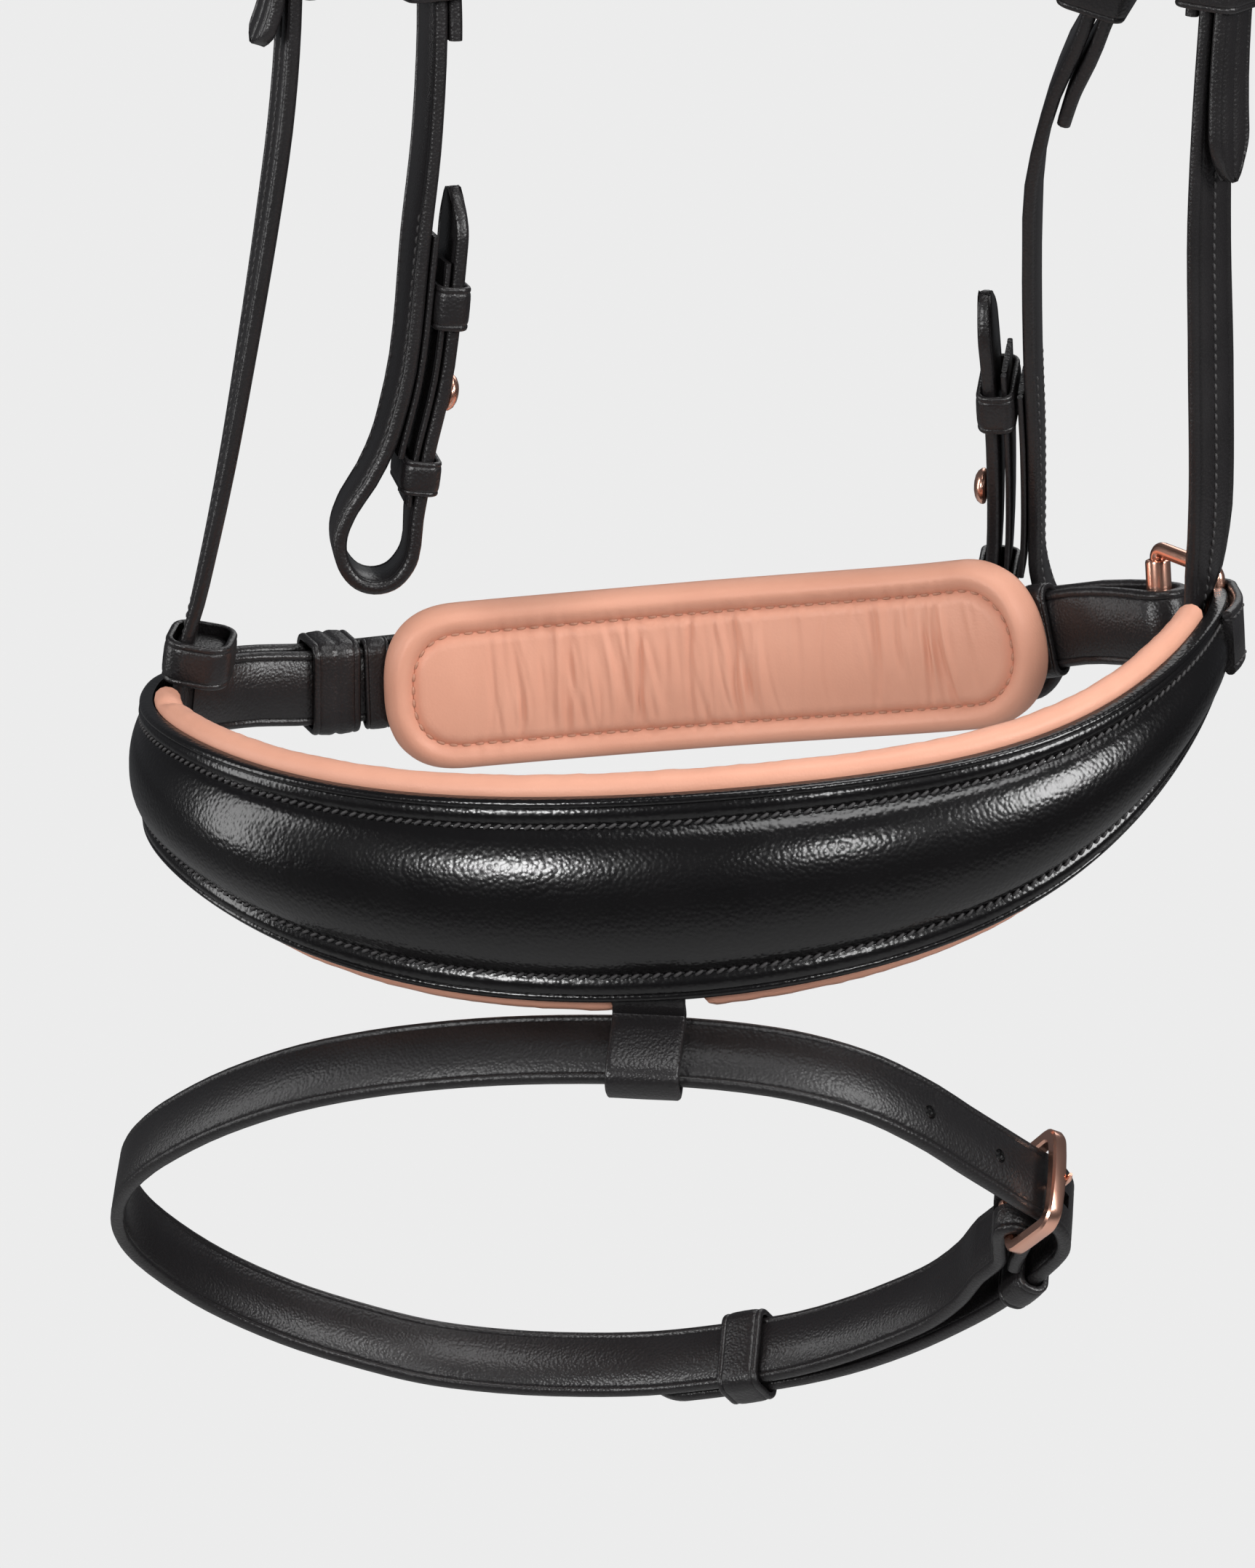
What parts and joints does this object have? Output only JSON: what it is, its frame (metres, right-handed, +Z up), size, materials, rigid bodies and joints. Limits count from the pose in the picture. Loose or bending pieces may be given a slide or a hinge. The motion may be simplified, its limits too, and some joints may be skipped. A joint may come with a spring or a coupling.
{
  "type": "horse bridle",
  "caption": "Leather horse bridle: padded crown, browband, cheekpieces with bit loops, domed crank noseband with roller and padded chin strap, buckled flash strap.",
  "frame": {"origin": "middle of the crown padding's underside, where the bridle rests on the horse's poll", "axes": "+X towards the horse's left side, +Y from the front of the nose towards the chin, +Z up along the head"},
  "size_m": [0.2535, 0.2098, 0.6229],
  "materials": {
    "black_leather": "waxed black leather with fine grain and black stitching",
    "rose_leather": "soft rose metallic leather over padding, with sewn channels",
    "rose_gold_metal": "polished rose gold plate"
  },
  "bodies": {
    "crown": {"crown_padding": "black_leather", "crownpiece": "black_leather"},
    "browband": {"browband": "black_leather", "browband_lining": "rose_leather", "browband_loop_left": "black_leather", "browband_loop_right": "black_leather"},
    "noseband": {"chin_buckle_frame": "rose_gold_metal", "chin_buckle_strap": "black_leather", "chin_keeper": "black_leather", "chin_pad": "rose_leather", "chin_pad_loop_left": "black_leather", "chin_pad_loop_right": "black_leather", "chin_strap": "black_leather", "hanger_buckle_left_frame": "rose_gold_metal", "hanger_buckle_right_frame": "rose_gold_metal", "hanger_keeper_left": "black_leather", "hanger_keeper_right": "black_leather", "left_ring": "black_leather", "noseband_billet_left": "black_leather", "noseband_billet_right": "black_leather", "noseband_hanger_left": "black_leather", "noseband_hanger_right": "black_leather", "noseband_leather": "black_leather", "noseband_lining": "rose_leather", "roller_chape": "black_leather", "roller_frame": "rose_gold_metal"},
    "cheek_left": {"cheek_billet_left": "black_leather", "cheek_buckle_left_frame": "rose_gold_metal", "cheek_keeper_left": "black_leather", "cheek_lining_left": "black_leather", "cheek_lower_keeper_left": "black_leather", "cheek_safe_left": "black_leather", "cheek_strap_left": "black_leather", "cheek_upper_keeper_left": "black_leather", "hook_stud_left": "rose_gold_metal"},
    "cheek_right": {"cheek_billet_right": "black_leather", "cheek_buckle_right_frame": "rose_gold_metal", "cheek_keeper_right": "black_leather", "cheek_lining_right": "black_leather", "cheek_lower_keeper_right": "black_leather", "cheek_safe_right": "black_leather", "cheek_strap_right": "black_leather", "cheek_upper_keeper_right": "black_leather", "hook_stud_right": "rose_gold_metal"},
    "throatlash": {"throat_buckle_frame": "rose_gold_metal", "throatlash_billet": "black_leather", "throatlash_strap": "black_leather"},
    "flash": {"flash_buckle_frame": "rose_gold_metal", "flash_fixed_keeper": "black_leather", "flash_strap": "black_leather", "flash_tab": "black_leather"},
    "flash_keeper": {"flash_loose_keeper": "black_leather"},
    "roller": {"roller": "rose_gold_metal"},
    "hanger_buckle_left_tongue_body": {"hanger_buckle_left_tongue": "rose_gold_metal"},
    "hanger_buckle_right_tongue_body": {"hanger_buckle_right_tongue": "rose_gold_metal"},
    "cheek_buckle_left_tongue_body": {"cheek_buckle_left_tongue": "rose_gold_metal"},
    "cheek_buckle_right_tongue_body": {"cheek_buckle_right_tongue": "rose_gold_metal"},
    "throat_buckle_tongue_body": {"throat_buckle_tongue": "rose_gold_metal"},
    "chin_buckle_tongue_body": {"chin_buckle_tongue": "rose_gold_metal"},
    "flash_buckle_tongue_body": {"flash_buckle_tongue": "rose_gold_metal"}
  },
  "joints": [
    {"name": "browband_slide", "type": "slide", "parent": "crown", "child": "browband", "axis": [0, 0, 1], "range_m": [-0.004, 0.006]},
    {"name": "noseband_swing", "type": "hinge", "parent": "crown", "child": "noseband", "pos_m": [0, -0.0165, -0.138], "axis": [1, 0, 0], "range_deg": [-20, 0.25]},
    {"name": "cheek_left_swing", "type": "hinge", "parent": "crown", "child": "cheek_left", "pos_m": [-0.0954, 0, -0.138], "axis": [0, 1, 0], "range_deg": [-6, 3]},
    {"name": "cheek_right_swing", "type": "hinge", "parent": "crown", "child": "cheek_right", "pos_m": [0.0954, 0, -0.138], "axis": [0, 1, 0], "range_deg": [-3, 5]},
    {"name": "throatlash_swing", "type": "hinge", "parent": "crown", "child": "throatlash", "pos_m": [0, 0.019, -0.138], "axis": [1, 0, 0], "range_deg": [-0.5, 20]},
    {"name": "flash_swing", "type": "hinge", "parent": "noseband", "child": "flash", "pos_m": [-0.0155, -0.084, -0.476], "axis": [1, 0, 0], "range_deg": [-25, 15]},
    {"name": "flash_keeper_slide", "type": "slide", "parent": "flash", "child": "flash_keeper", "axis": [0.9186, -0.2448, 0.3101], "range_m": [-0.003, 0.003]},
    {"name": "roller_spin", "type": "hinge", "parent": "noseband", "child": "roller", "pos_m": [0.08659, 0.03356, -0.41981], "axis": [-0.0797, 0.069, 0.9944], "continuous": true},
    {"name": "hanger_buckle_left_tongue_pivot", "type": "hinge", "parent": "noseband", "child": "hanger_buckle_left_tongue_body", "pos_m": [-0.10243, -0.01443, -0.25021], "axis": [0.3614, -0.932, -0.0271], "range_deg": [0, 12]},
    {"name": "hanger_buckle_right_tongue_pivot", "type": "hinge", "parent": "noseband", "child": "hanger_buckle_right_tongue_body", "pos_m": [0.09622, -0.01431, -0.25], "axis": [0.4189, 0.9079, 0.0145], "range_deg": [0, 12]},
    {"name": "cheek_buckle_left_tongue_pivot", "type": "hinge", "parent": "cheek_left", "child": "cheek_buckle_left_tongue_body", "pos_m": [-0.07612, 0.00066, -0.24978], "axis": [0.3848, -0.9213, 0.0549], "range_deg": [0, 12]},
    {"name": "cheek_buckle_right_tongue_pivot", "type": "hinge", "parent": "cheek_right", "child": "cheek_buckle_right_tongue_body", "pos_m": [0.07415, 0.00524, -0.24973], "axis": [0.1533, 0.9864, 0.0597], "range_deg": [0, 12]},
    {"name": "throat_buckle_tongue_pivot", "type": "hinge", "parent": "throatlash", "child": "throat_buckle_tongue_body", "pos_m": [-0.08566, 0.01946, -0.18329], "axis": [0.0061, -0.9996, -0.0262], "range_deg": [0, 12]},
    {"name": "chin_buckle_tongue_pivot", "type": "hinge", "parent": "noseband", "child": "chin_buckle_tongue_body", "pos_m": [-0.05295, 0.0651, -0.44372], "axis": [-0.0846, -0.0119, 0.9963], "range_deg": [0, 12]},
    {"name": "flash_buckle_tongue_pivot", "type": "hinge", "parent": "flash", "child": "flash_buckle_tongue_body", "pos_m": [0.06148, -0.04374, -0.53607], "axis": [-0.0129, 0.766, 0.6427], "range_deg": [0, 12]}
  ]
}
